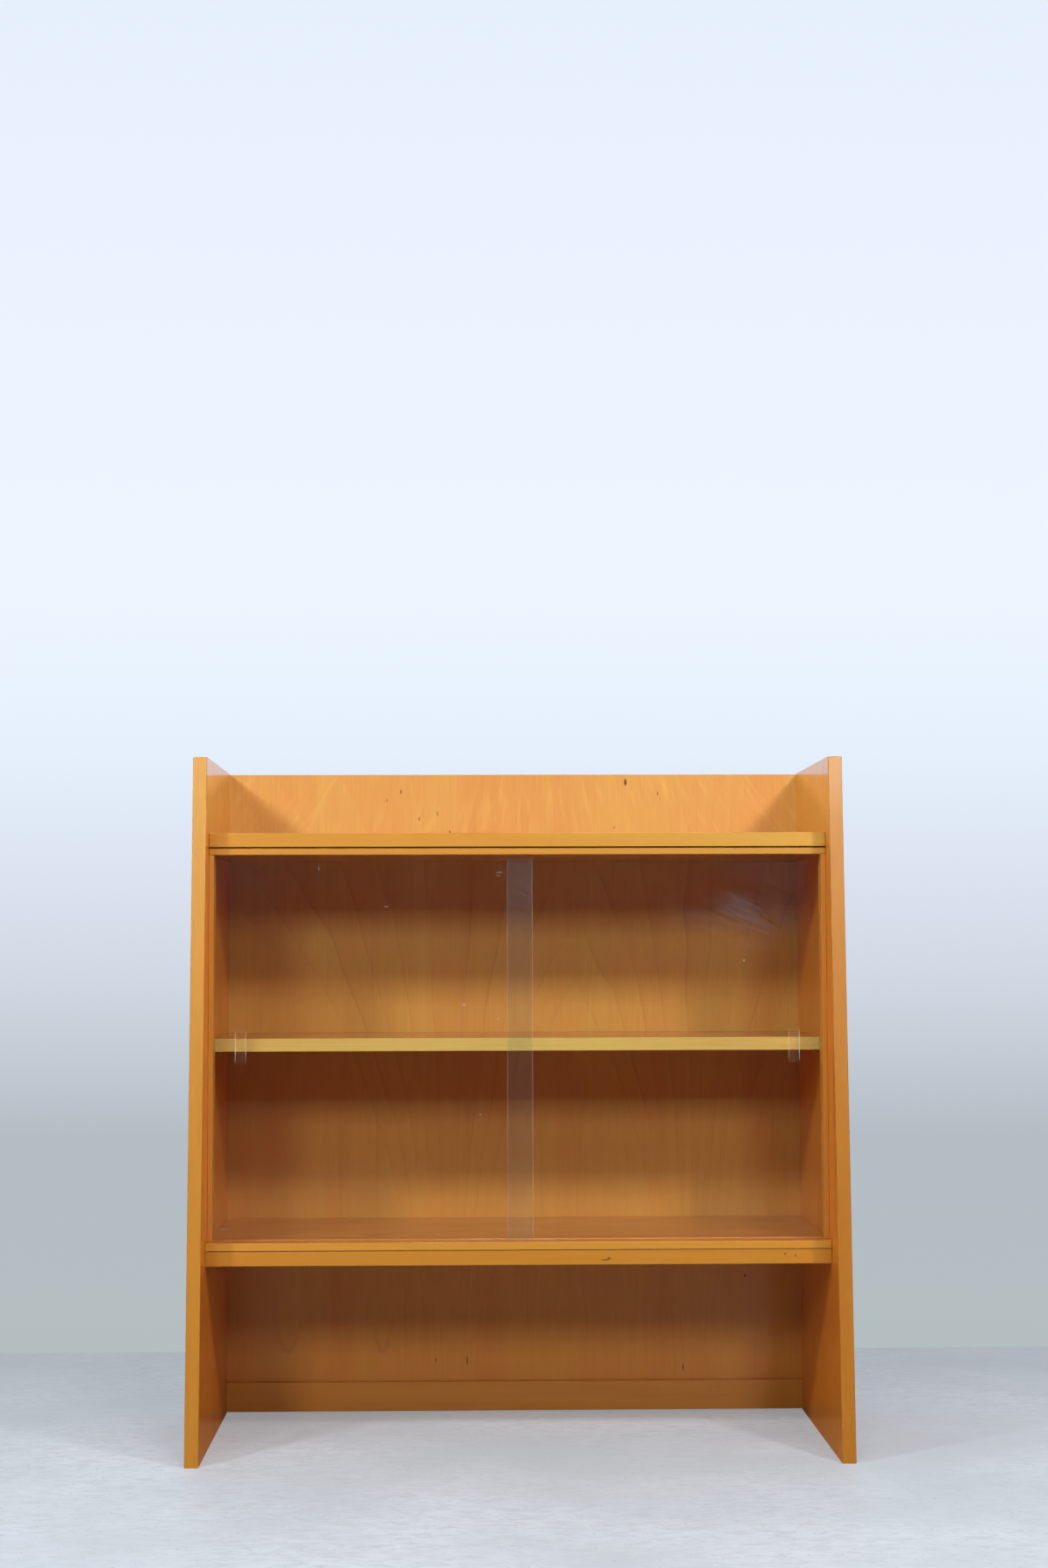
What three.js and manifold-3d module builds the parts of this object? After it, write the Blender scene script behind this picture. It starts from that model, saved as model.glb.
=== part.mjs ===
// Low bookcase with a glazed middle section: two glass doors slide past each other between
// an open top tray and an open bottom bay. The sides are deeper at the foot than at the top.
// Units are millimetres, +Z is up, the front faces -Y, and the origin is the centre of the
// footprint on the floor.

import * as THREE from 'three';
import { mergeVertices } from 'three/addons/utils/BufferGeometryUtils.js';
import Module from 'manifold-3d';

const wasm = await Module();
wasm.setup();

// Overall size
const WIDTH = 950;
const HEIGHT = 1010;
const BASE_DEPTH = 448;
const TOP_DEPTH = 376;

// Clearances, and the overrun that every cut has past the face that it opens
const JOINT_GAP = 0.3;
const OVERRUN = 1;

// Side panels and the solid lipping on their front edges
const SIDE_THICKNESS = 20;
const SIDE_LIPPING = 5;

// Back panel, let into a rebate in each side
const BACK_THICKNESS = 8;
const REBATE_WIDTH = 8;
const BACK_TOP_DROP = 1.5;
const BACK_FOOT_GAP = 3;

// Fixed shelves, each with a solid lipping along its front
const SHELF_LIPPING = 4;
const TRAY_HEIGHT = 110;
const TOP_SHELF_THICKNESS = 20.5;
const TOP_SHELF_REACH = 341;
const LOWER_SHELF_THICKNESS = 21.5;
const LOWER_SHELF_TOP = 292.5;
const LOWER_SHELF_REACH = 365;

// Loose shelf behind the doors, on four pins
const MIDDLE_SHELF_THICKNESS = 19;
const MIDDLE_SHELF_RISE = 11;
const MIDDLE_SHELF_SETBACK = 2;
const SHELF_END_GAP = 1;
const PIN_RADIUS = 3;
const PIN_SOCKET_RADIUS = 3.3;
const PIN_SOCKET_DEPTH = 10;
const PIN_PROJECTION = 12;
const PIN_FRONT_INSET = 45;
const PIN_BACK_INSET = 40;

// Floor and ceiling boards of the glazed section, with two grooves each for the doors
const FLOOR_BOARD_THICKNESS = 11.5;
const CEILING_BOARD_THICKNESS = 11.2;
const CEILING_SETBACK = 2;
const SHADOW_GAP_HEIGHT = 1.8;
const SHADOW_GAP_DEPTH = 7;
const FLOOR_GROOVE_DEPTH = 4;
const CEILING_GROOVE_DEPTH = 8;

// Glass doors
const GLASS_THICKNESS = 5;
const GLASS_SIDE_PLAY = 0.5;
const GLASS_SETBACK = 8;
const GLASS_PITCH = 10;
const GLASS_TOP_PLAY = 4.3;
const DOOR_OVERLAP = 37;
const OVERLAP_OFFSET = 2.5;
const GRIP_WIDTH = 16.5;
const GRIP_HEIGHT = 50;
const GRIP_DEPTH = 2;
const GRIP_INSET = 39.5;

// Jamb strips that stop the doors at each side
const JAMB_WIDTH = 7.5;
const JAMB_DEPTH = 33;
const JAMB_GROOVE_DEPTH = 3;

// Low rail across the back of the bottom bay
const RAIL_THICKNESS = 12;
const RAIL_FOOT_GAP = 3;
const RAIL_HEIGHT = 45;

// Dowels in the fixed shelves and in the rail
const DOWEL_RADIUS = 4;
const DOWEL_HOLE_RADIUS = 4.3;
const DOWEL_SIDE_DEPTH = 13;
const DOWEL_BOARD_DEPTH = 22;
const DOWEL_END_GAP = 0.5;
const DOWELS_PER_SHELF_END = 3;
const DOWEL_END_INSET = 45;
const RAIL_DOWEL_RADIUS = 3;
const RAIL_DOWEL_HOLE_RADIUS = 3.3;
const RAIL_DOWEL_INSET = 12;

// Countersunk screws that hold the back panel
const SCREW_RADIUS = 1.75;
const SCREW_HOLE_RADIUS = 2.05;
const SCREW_HEAD_RADIUS = 3.5;
const SCREW_HEAD_HEIGHT = 2.2;
const SCREW_LENGTH = 20;
const SCREW_POINT_LENGTH = 3;
const SCREW_RECESS = 0.3;
const SCREW_SLOT_WIDTH = 1;
const SCREW_SLOT_DEPTH = 0.8;
const SCREWS_PER_SIDE = 4;
const SCREW_END_INSET = 80;
const SHELF_SCREW_INSET = 225;

const ROUND_SIDES = 16;

// Places that follow from the sizes
const BACK_Y = BASE_DEPTH / 2;
const BACK_PANEL_FRONT_Y = BACK_Y - BACK_THICKNESS;
const INNER_HALF_WIDTH = WIDTH / 2 - SIDE_THICKNESS;
const TOP_SHELF_TOP = HEIGHT - TRAY_HEIGHT;
const TOP_SHELF_BOTTOM = TOP_SHELF_TOP - TOP_SHELF_THICKNESS;
const FLOOR_BOTTOM = LOWER_SHELF_TOP + JOINT_GAP;
const FLOOR_TOP = FLOOR_BOTTOM + FLOOR_BOARD_THICKNESS;
const CEILING_TOP = TOP_SHELF_BOTTOM - JOINT_GAP;
const CEILING_BOTTOM = CEILING_TOP - CEILING_BOARD_THICKNESS;
const BOARD_BACK_Y = BACK_PANEL_FRONT_Y - JOINT_GAP;
const CEILING_FRONT_Y = BACK_Y - TOP_SHELF_REACH + CEILING_SETBACK;
const GROOVE_WIDTH = GLASS_THICKNESS + 2 * GLASS_SIDE_PLAY;
const FRONT_GLASS_Y = CEILING_FRONT_Y + GLASS_SETBACK + GLASS_THICKNESS / 2;
const REAR_GLASS_Y = FRONT_GLASS_Y + GLASS_PITCH;
const DOOR_EDGE_X = INNER_HALF_WIDTH - JOINT_GAP - JAMB_WIDTH + JAMB_GROOVE_DEPTH - JOINT_GAP;
const DOOR_BOTTOM = FLOOR_TOP - FLOOR_GROOVE_DEPTH + JOINT_GAP;
const DOOR_TOP = CEILING_BOTTOM + CEILING_GROOVE_DEPTH - GLASS_TOP_PLAY;
const GLAZED_MIDDLE_Z = (FLOOR_TOP + CEILING_BOTTOM) / 2;
const MIDDLE_SHELF_TOP = GLAZED_MIDDLE_Z + MIDDLE_SHELF_RISE;
const MIDDLE_SHELF_FRONT_Y = CEILING_FRONT_Y + JAMB_DEPTH + MIDDLE_SHELF_SETBACK;
const PIN_Z = MIDDLE_SHELF_TOP - MIDDLE_SHELF_THICKNESS - JOINT_GAP - PIN_RADIUS;
const PIN_PLACES = {
  front: MIDDLE_SHELF_FRONT_Y + PIN_FRONT_INSET,
  back: BOARD_BACK_Y - PIN_BACK_INSET,
};
const RAIL_FRONT_Y = BOARD_BACK_Y - RAIL_THICKNESS;
const SIDES = { left: -1, right: 1 };

// Materials
const wood = (color, roughness) => new THREE.MeshStandardMaterial({ color, roughness, metalness: 0 });
const veneerMaterial = wood(0xb9752f, 0.35);
const backMaterial = wood(0xb56f35, 0.4);
const lippingMaterial = wood(0xd29a48, 0.4);
const dowelMaterial = wood(0xd9b884, 0.7);
const brassMaterial = new THREE.MeshStandardMaterial({ color: 0xb08d4a, roughness: 0.35, metalness: 1 });
const steelMaterial = new THREE.MeshStandardMaterial({ color: 0xa8a9ab, roughness: 0.4, metalness: 1 });
const glassMaterial = new THREE.MeshStandardMaterial({
  color: 0xdfeee6,
  roughness: 0.05,
  metalness: 0,
  transparent: true,
  opacity: 0.3,
});

// Solids: three.js geometry to a manifold solid and back

function toSolid(geometry) {
  const bare = geometry.clone();
  bare.deleteAttribute('normal');
  bare.deleteAttribute('uv');
  const merged = mergeVertices(bare);
  return new wasm.Manifold(
    new wasm.Mesh({
      numProp: 3,
      vertProperties: new Float32Array(merged.attributes.position.array),
      triVerts: new Uint32Array(merged.index.array),
    }),
  );
}

function toGeometry(solid) {
  const mesh = solid.getMesh();
  const geometry = new THREE.BufferGeometry();
  geometry.setAttribute('position', new THREE.BufferAttribute(new Float32Array(mesh.vertProperties), 3));
  geometry.setIndex(new THREE.BufferAttribute(new Uint32Array(mesh.triVerts), 1));
  geometry.computeVertexNormals();
  return geometry;
}

function cutAway(geometry, cutters) {
  let solid = toSolid(geometry);
  for (const cutter of cutters) {
    solid = solid.subtract(toSolid(cutter));
  }
  return toGeometry(solid);
}

// A box between two opposite corners
function boxBetween([x0, y0, z0], [x1, y1, z1]) {
  const box = new THREE.BoxGeometry(x1 - x0, y1 - y0, z1 - z0);
  box.translate((x0 + x1) / 2, (y0 + y1) / 2, (z0 + z1) / 2);
  return box;
}

// A round bar along X, from x0 to x1
function barAlongX(radius, x0, x1, y, z) {
  const bar = new THREE.CylinderGeometry(radius, radius, Math.abs(x1 - x0), ROUND_SIDES);
  bar.rotateZ(Math.PI / 2);
  bar.translate((x0 + x1) / 2, y, z);
  return bar;
}

// A turned shape whose axis lies along Y, from a profile of radius and distance along +Y
function turnedAlongY(profile, x, y, z) {
  const points = profile.map(([radius, along]) => new THREE.Vector2(radius, along));
  const turned = new THREE.LatheGeometry(points, ROUND_SIDES);
  turned.translate(x, y, z);
  return turned;
}

const part = new THREE.Group();

function addPiece(name, geometry, material) {
  const piece = new THREE.Mesh(geometry, material);
  piece.name = name;
  part.add(piece);
}

// Spreads a count of places evenly between two ends
function spread(count, from, to) {
  return Array.from({ length: count }, (_, i) => from + ((to - from) * i) / (count - 1));
}

// Front edge of a side at a height
function sideFrontY(z) {
  const depth = BASE_DEPTH + ((TOP_DEPTH - BASE_DEPTH) * z) / HEIGHT;
  return BACK_Y - depth;
}

// A board of the side's slope, between two set-backs from the front edge, extruded along X
function slopedBoard(x0, x1, frontInset, backEdge) {
  const outline = new THREE.Shape();
  outline.moveTo(sideFrontY(0) + frontInset, 0);
  outline.lineTo(backEdge(0), 0);
  outline.lineTo(backEdge(HEIGHT), HEIGHT);
  outline.lineTo(sideFrontY(HEIGHT) + frontInset, HEIGHT);
  outline.closePath();
  const board = new THREE.ExtrudeGeometry(outline, { depth: x1 - x0, bevelEnabled: false });
  // The outline's first axis becomes Y, its second Z, and the extrusion runs along X
  board.applyMatrix4(new THREE.Matrix4().set(0, 0, 1, x0, 1, 0, 0, 0, 0, 1, 0, 0, 0, 0, 0, 1));
  return board;
}

// Y places of the dowels in one end of a fixed shelf
function shelfDowelPlaces(reach) {
  const front = BACK_Y - reach + DOWEL_END_INSET;
  return spread(DOWELS_PER_SHELF_END, front, BOARD_BACK_Y - DOWEL_END_INSET);
}

// Every dowel joint: name, place and size
function dowelJoints() {
  const joints = [];
  const shelves = [
    ['top_shelf', TOP_SHELF_REACH, TOP_SHELF_TOP - TOP_SHELF_THICKNESS / 2],
    ['lower_shelf', LOWER_SHELF_REACH, LOWER_SHELF_TOP - LOWER_SHELF_THICKNESS / 2],
  ];
  for (const [shelf, reach, z] of shelves) {
    shelfDowelPlaces(reach).forEach((y, i) => {
      joints.push({ host: shelf, index: i + 1, y, z, radius: DOWEL_RADIUS, hole: DOWEL_HOLE_RADIUS });
    });
  }
  const railZs = [RAIL_FOOT_GAP + RAIL_DOWEL_INSET, RAIL_FOOT_GAP + RAIL_HEIGHT - RAIL_DOWEL_INSET];
  const railY = RAIL_FRONT_Y + RAIL_THICKNESS / 2;
  railZs.forEach((z, i) => {
    joints.push({
      host: 'bottom_rail', index: i + 1, y: railY, z, radius: RAIL_DOWEL_RADIUS, hole: RAIL_DOWEL_HOLE_RADIUS,
    });
  });
  return joints;
}

const DOWEL_JOINTS = dowelJoints();

// Holes for one host's dowels, in both of its ends
function dowelHolesInHost(host) {
  const holes = [];
  for (const joint of DOWEL_JOINTS.filter((candidate) => candidate.host === host)) {
    for (const side of Object.values(SIDES)) {
      const end = side * (INNER_HALF_WIDTH + OVERRUN);
      const bottom = side * (INNER_HALF_WIDTH - JOINT_GAP - DOWEL_BOARD_DEPTH);
      holes.push(barAlongX(joint.hole, Math.min(end, bottom), Math.max(end, bottom), joint.y, joint.z));
    }
  }
  return holes;
}

// Holes in one side panel for its dowels and shelf pins
function holesInSide(side) {
  const mouth = side * (INNER_HALF_WIDTH - OVERRUN);
  const holes = [];
  for (const joint of DOWEL_JOINTS) {
    const bottom = side * (INNER_HALF_WIDTH + DOWEL_SIDE_DEPTH);
    holes.push(barAlongX(joint.hole, Math.min(mouth, bottom), Math.max(mouth, bottom), joint.y, joint.z));
  }
  for (const y of Object.values(PIN_PLACES)) {
    const bottom = side * (INNER_HALF_WIDTH + PIN_SOCKET_DEPTH);
    holes.push(barAlongX(PIN_SOCKET_RADIUS, Math.min(mouth, bottom), Math.max(mouth, bottom), y, PIN_Z));
  }
  return holes;
}

// Back panel screws: places in X and Z on the panel's rear face
function screwPlaces() {
  const places = [];
  const x = INNER_HALF_WIDTH + REBATE_WIDTH / 2;
  for (const [name, side] of Object.entries(SIDES)) {
    spread(SCREWS_PER_SIDE, SCREW_END_INSET, HEIGHT - SCREW_END_INSET).forEach((z, i) => {
      places.push({ name: `back_screw_${name}_${i + 1}`, x: side * x, z });
    });
    const shelves = {
      top_shelf: TOP_SHELF_TOP - TOP_SHELF_THICKNESS / 2,
      lower_shelf: LOWER_SHELF_TOP - LOWER_SHELF_THICKNESS / 2,
    };
    for (const [shelf, z] of Object.entries(shelves)) {
      places.push({ name: `back_screw_${shelf}_${name}`, x: side * SHELF_SCREW_INSET, z });
    }
  }
  return places;
}

const SCREW_PLACES = screwPlaces();

// Clearance hole for a screw, as deep as the screw and open at the rear
function screwHole({ x, z }) {
  const head = SCREW_HEAD_RADIUS + JOINT_GAP;
  const profile = [
    [0, -SCREW_LENGTH - JOINT_GAP],
    [SCREW_HOLE_RADIUS, -SCREW_LENGTH - JOINT_GAP],
    [SCREW_HOLE_RADIUS, -SCREW_HEAD_HEIGHT],
    [head, 0],
    [head, OVERRUN],
    [0, OVERRUN],
  ];
  return turnedAlongY(profile, x, BACK_Y - SCREW_RECESS, z);
}

// Side panels
function addSides() {
  for (const [name, side] of Object.entries(SIDES)) {
    const inner = side * INNER_HALF_WIDTH;
    const outer = (side * WIDTH) / 2;
    const x0 = Math.min(inner, outer);
    const x1 = Math.max(inner, outer);
    const panel = slopedBoard(x0, x1, SIDE_LIPPING + JOINT_GAP, () => BACK_Y);
    const rebateEnd = side * (INNER_HALF_WIDTH + REBATE_WIDTH);
    const rebateMouth = side * (INNER_HALF_WIDTH - OVERRUN);
    const rebate = boxBetween(
      [Math.min(rebateEnd, rebateMouth), BOARD_BACK_Y, -OVERRUN],
      [Math.max(rebateEnd, rebateMouth), BACK_Y + OVERRUN, HEIGHT + OVERRUN],
    );
    const screws = SCREW_PLACES.filter((place) => Math.sign(place.x) === side).map(screwHole);
    const cut = cutAway(panel, [rebate, ...holesInSide(side), ...screws]);
    addPiece(`side_panel_${name}`, cut, veneerMaterial);
    const lipping = slopedBoard(x0, x1, 0, (z) => sideFrontY(z) + SIDE_LIPPING);
    addPiece(`side_lipping_${name}`, lipping, lippingMaterial);
  }
}

// Back panel
function addBack() {
  const halfWidth = INNER_HALF_WIDTH + REBATE_WIDTH - JOINT_GAP;
  const board = boxBetween(
    [-halfWidth, BACK_PANEL_FRONT_Y, BACK_FOOT_GAP],
    [halfWidth, BACK_Y, HEIGHT - BACK_TOP_DROP],
  );
  addPiece('back_panel', cutAway(board, SCREW_PLACES.map(screwHole)), backMaterial);
}

// Fixed shelf: a board with a solid lipping along its front
function addFixedShelf(name, reach, top, thickness) {
  const halfWidth = INNER_HALF_WIDTH - JOINT_GAP;
  const front = BACK_Y - reach;
  const board = boxBetween(
    [-halfWidth, front + SHELF_LIPPING + JOINT_GAP, top - thickness],
    [halfWidth, BOARD_BACK_Y, top],
  );
  const screws = SCREW_PLACES.filter((place) => place.name.includes(name)).map(screwHole);
  addPiece(name, cutAway(board, [...dowelHolesInHost(name), ...screws]), veneerMaterial);
  const lipping = boxBetween([-halfWidth, front, top - thickness], [halfWidth, front + SHELF_LIPPING, top]);
  addPiece(`${name}_lipping`, lipping, lippingMaterial);
}

// Loose middle shelf and the four pins under it
function addMiddleShelf() {
  const halfWidth = INNER_HALF_WIDTH - SHELF_END_GAP;
  const front = MIDDLE_SHELF_FRONT_Y;
  const bottom = MIDDLE_SHELF_TOP - MIDDLE_SHELF_THICKNESS;
  const board = boxBetween(
    [-halfWidth, front + SHELF_LIPPING + JOINT_GAP, bottom],
    [halfWidth, BOARD_BACK_Y - SHELF_END_GAP, MIDDLE_SHELF_TOP],
  );
  addPiece('middle_shelf', board, veneerMaterial);
  const lipping = boxBetween([-halfWidth, front, bottom], [halfWidth, front + SHELF_LIPPING, MIDDLE_SHELF_TOP]);
  addPiece('middle_shelf_lipping', lipping, lippingMaterial);
  for (const [name, side] of Object.entries(SIDES)) {
    for (const [place, y] of Object.entries(PIN_PLACES)) {
      const ends = [
        side * (INNER_HALF_WIDTH - PIN_PROJECTION),
        side * (INNER_HALF_WIDTH + PIN_SOCKET_DEPTH - DOWEL_END_GAP),
      ];
      const pin = barAlongX(PIN_RADIUS, Math.min(...ends), Math.max(...ends), y, PIN_Z);
      addPiece(`shelf_pin_${place}_${name}`, pin, brassMaterial);
    }
  }
}

// A groove for a pane, all along a board
function paneGroove(y, z0, z1) {
  const reach = INNER_HALF_WIDTH + OVERRUN;
  return boxBetween([-reach, y - GROOVE_WIDTH / 2, z0], [reach, y + GROOVE_WIDTH / 2, z1]);
}

// Floor board of the glazed section
function addFloorBoard() {
  const halfWidth = INNER_HALF_WIDTH - JOINT_GAP;
  const board = boxBetween(
    [-halfWidth, BACK_Y - LOWER_SHELF_REACH, FLOOR_BOTTOM],
    [halfWidth, BOARD_BACK_Y, FLOOR_TOP],
  );
  const grooves = [FRONT_GLASS_Y, REAR_GLASS_Y].map((y) => {
    return paneGroove(y, FLOOR_TOP - FLOOR_GROOVE_DEPTH, FLOOR_TOP + OVERRUN);
  });
  addPiece('cabinet_floor', cutAway(board, grooves), lippingMaterial);
}

// Ceiling board of the glazed section, with a shadow gap under the shelf above it
function addCeilingBoard() {
  const halfWidth = INNER_HALF_WIDTH - JOINT_GAP;
  const front = CEILING_FRONT_Y;
  const board = boxBetween([-halfWidth, front, CEILING_BOTTOM], [halfWidth, BOARD_BACK_Y, CEILING_TOP]);
  const grooves = [FRONT_GLASS_Y, REAR_GLASS_Y].map((y) => {
    return paneGroove(y, CEILING_BOTTOM - OVERRUN, CEILING_BOTTOM + CEILING_GROOVE_DEPTH);
  });
  const shadowGap = boxBetween(
    [-INNER_HALF_WIDTH, front - OVERRUN, CEILING_TOP - SHADOW_GAP_HEIGHT],
    [INNER_HALF_WIDTH, front + SHADOW_GAP_DEPTH, CEILING_TOP + OVERRUN],
  );
  addPiece('cabinet_ceiling', cutAway(board, [...grooves, shadowGap]), lippingMaterial);
}

// Jamb strips, grooved for the closing edges of the panes
function addJambs() {
  for (const [name, side] of Object.entries(SIDES)) {
    const outer = side * (INNER_HALF_WIDTH - JOINT_GAP);
    const inner = outer - side * JAMB_WIDTH;
    const front = CEILING_FRONT_Y;
    const strip = boxBetween(
      [Math.min(outer, inner), front, FLOOR_TOP + JOINT_GAP],
      [Math.max(outer, inner), front + JAMB_DEPTH, CEILING_BOTTOM - JOINT_GAP],
    );
    const grooveEnd = inner + side * JAMB_GROOVE_DEPTH;
    const grooveMouth = inner - side * OVERRUN;
    const grooves = [FRONT_GLASS_Y, REAR_GLASS_Y].map((y) => {
      return boxBetween(
        [Math.min(grooveEnd, grooveMouth), y - GROOVE_WIDTH / 2, FLOOR_TOP - OVERRUN],
        [Math.max(grooveEnd, grooveMouth), y + GROOVE_WIDTH / 2, CEILING_BOTTOM + OVERRUN],
      );
    });
    addPiece(`jamb_${name}`, cutAway(strip, grooves), lippingMaterial);
  }
}

// Finger grip: the hollow that a wheel grinds across the front face of a pane
function gripCutter(x, frontY) {
  const halfChord = GRIP_HEIGHT / 2;
  const wheelRadius = (halfChord * halfChord + GRIP_DEPTH * GRIP_DEPTH) / (2 * GRIP_DEPTH);
  const spanAngle = Math.asin(halfChord / wheelRadius);
  const segment = new THREE.Shape();
  segment.absarc(0, 0, wheelRadius, -spanAngle, spanAngle, false);
  segment.lineTo(wheelRadius - GRIP_DEPTH - OVERRUN, halfChord);
  segment.lineTo(wheelRadius - GRIP_DEPTH - OVERRUN, -halfChord);
  segment.closePath();
  const wheel = new THREE.ExtrudeGeometry(segment, {
    depth: GRIP_WIDTH, bevelEnabled: false, curveSegments: ROUND_SIDES,
  });
  // The wheel's radius becomes +Y, its chord Z, and its width X
  wheel.applyMatrix4(new THREE.Matrix4().set(
    0, 0, 1, x - GRIP_WIDTH / 2,
    1, 0, 0, frontY + GRIP_DEPTH - wheelRadius,
    0, 1, 0, GLAZED_MIDDLE_Z,
    0, 0, 0, 1,
  ));
  return wheel;
}

// A glass door between two X places, with its grip near the jamb
function addDoor(name, x0, x1, y, gripX) {
  const pane = boxBetween(
    [x0, y - GLASS_THICKNESS / 2, DOOR_BOTTOM],
    [x1, y + GLASS_THICKNESS / 2, DOOR_TOP],
  );
  addPiece(name, cutAway(pane, [gripCutter(gripX, y - GLASS_THICKNESS / 2)]), glassMaterial);
}

function addDoors() {
  const gripX = INNER_HALF_WIDTH - JAMB_WIDTH - GRIP_INSET;
  const overlapLeft = OVERLAP_OFFSET - DOOR_OVERLAP / 2;
  const overlapRight = OVERLAP_OFFSET + DOOR_OVERLAP / 2;
  addDoor('front_glass_door', -DOOR_EDGE_X, overlapRight, FRONT_GLASS_Y, -gripX);
  addDoor('rear_glass_door', overlapLeft, DOOR_EDGE_X, REAR_GLASS_Y, gripX);
}

// Low rail across the back of the bottom bay
function addRail() {
  const halfWidth = INNER_HALF_WIDTH - JOINT_GAP;
  const board = boxBetween(
    [-halfWidth, RAIL_FRONT_Y, RAIL_FOOT_GAP],
    [halfWidth, BOARD_BACK_Y, RAIL_FOOT_GAP + RAIL_HEIGHT],
  );
  addPiece('bottom_rail', cutAway(board, dowelHolesInHost('bottom_rail')), veneerMaterial);
}

// Dowels
function addDowels() {
  for (const joint of DOWEL_JOINTS) {
    for (const [name, side] of Object.entries(SIDES)) {
      const ends = [
        side * (INNER_HALF_WIDTH - JOINT_GAP - DOWEL_BOARD_DEPTH + DOWEL_END_GAP),
        side * (INNER_HALF_WIDTH + DOWEL_SIDE_DEPTH - DOWEL_END_GAP),
      ];
      const dowel = barAlongX(joint.radius, Math.min(...ends), Math.max(...ends), joint.y, joint.z);
      addPiece(`dowel_${joint.host}_${joint.index}_${name}`, dowel, dowelMaterial);
    }
  }
}

// Back panel screws: a countersunk head with a slot, a plain shank and a point
function addScrews() {
  const headFace = BACK_Y - SCREW_RECESS;
  const profile = [
    [0, -SCREW_LENGTH],
    [SCREW_RADIUS, -SCREW_LENGTH + SCREW_POINT_LENGTH],
    [SCREW_RADIUS, -SCREW_HEAD_HEIGHT],
    [SCREW_HEAD_RADIUS, 0],
    [0, 0],
  ];
  for (const { name, x, z } of SCREW_PLACES) {
    const slot = boxBetween(
      [x - SCREW_HEAD_RADIUS - OVERRUN, headFace - SCREW_SLOT_DEPTH, z - SCREW_SLOT_WIDTH / 2],
      [x + SCREW_HEAD_RADIUS + OVERRUN, headFace + OVERRUN, z + SCREW_SLOT_WIDTH / 2],
    );
    addPiece(name, cutAway(turnedAlongY(profile, x, headFace, z), [slot]), steelMaterial);
  }
}

addSides();
addBack();
addFixedShelf('top_shelf', TOP_SHELF_REACH, TOP_SHELF_TOP, TOP_SHELF_THICKNESS);
addFixedShelf('lower_shelf', LOWER_SHELF_REACH, LOWER_SHELF_TOP, LOWER_SHELF_THICKNESS);
addMiddleShelf();
addFloorBoard();
addCeilingBoard();
addJambs();
addDoors();
addRail();
addDowels();
addScrews();

export default part;
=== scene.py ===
# Looks of the low bookcase with sliding glass doors: camera, light, wood finishes and the two panes.
# Lengths are metres in the part's own frame, written as millimetres times MM. Tones are display
# colours from 0 to 255. Every pattern is noise, given by its width across the grain, its length along
# it, its detail and its distortion, and its levels are the noise values between which it sets in.
import math

import bmesh
import bpy
from mathutils import Color, Matrix, Vector


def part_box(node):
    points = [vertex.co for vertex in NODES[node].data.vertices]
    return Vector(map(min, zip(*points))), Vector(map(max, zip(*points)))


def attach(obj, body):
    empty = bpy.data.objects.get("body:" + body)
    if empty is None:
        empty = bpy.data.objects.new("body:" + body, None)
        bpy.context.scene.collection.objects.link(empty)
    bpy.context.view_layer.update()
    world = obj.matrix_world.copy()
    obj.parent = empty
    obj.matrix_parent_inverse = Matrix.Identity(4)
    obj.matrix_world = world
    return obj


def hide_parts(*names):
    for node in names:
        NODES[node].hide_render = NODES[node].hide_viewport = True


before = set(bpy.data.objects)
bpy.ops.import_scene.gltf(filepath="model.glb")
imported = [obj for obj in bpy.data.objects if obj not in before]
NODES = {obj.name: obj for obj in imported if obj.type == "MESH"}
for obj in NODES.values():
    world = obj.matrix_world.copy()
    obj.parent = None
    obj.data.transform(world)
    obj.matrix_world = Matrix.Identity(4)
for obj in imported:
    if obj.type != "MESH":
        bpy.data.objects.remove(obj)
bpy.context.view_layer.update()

MM = 0.001
AXES = "XYZ"
TONE_MAX = 255
WHITE = (TONE_MAX, TONE_MAX, TONE_MAX)

# Camera, from a fit of the carcass edges in the photograph: place, and turns in degrees. Its sensor
# spans the height of the image, and a tilt of 90 degrees is level.
IMAGE_HEIGHT = 1796
FOCAL_PIXELS = 2956.4
SENSOR_SIZE = 36
LEVEL_TILT = 90
CAMERA_PLACE = Vector((-76.8, -3922.1, 724.6)) * MM
CAMERA_PITCH = 3.719
CAMERA_YAW = 1.292
CAMERA_ROLL = -0.159

# Ground
GROUND_REACH = 9000 * MM
GROUND_PAINT = (211, 219, 234)
GROUND_PAINT_WORN = (178, 186, 198)
GROUND_ROUGHNESS = 0.42
GROUND_PATCHES = dict(width=420 * MM, length=420 * MM, detail=4)
GROUND_PATCH_LEVELS = (0.35, 0.7)
GROUND_STROKES = dict(width=13 * MM, length=30 * MM, detail=5, distortion=1.2)
GROUND_STROKE_LEVELS = (0.42, 0.66)
GROUND_STROKE_SHARE = 0.8
GROUND_SPECK_TONE = (128, 128, 124)
GROUND_SPECKS = dict(width=6 * MM, length=6 * MM, detail=3)
GROUND_SPECK_LEVELS = (0.66, 0.7)
GROUND_SPECK_SHARE = 0.8
# What the case gets back from the ground, and the glow that only the camera sees
GROUND_BOUNCE_TONE = (168, 147, 114)
GROUND_GLOW_TONE = (226, 231, 237)
GROUND_GLOW_SHARE = 0.3

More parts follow.
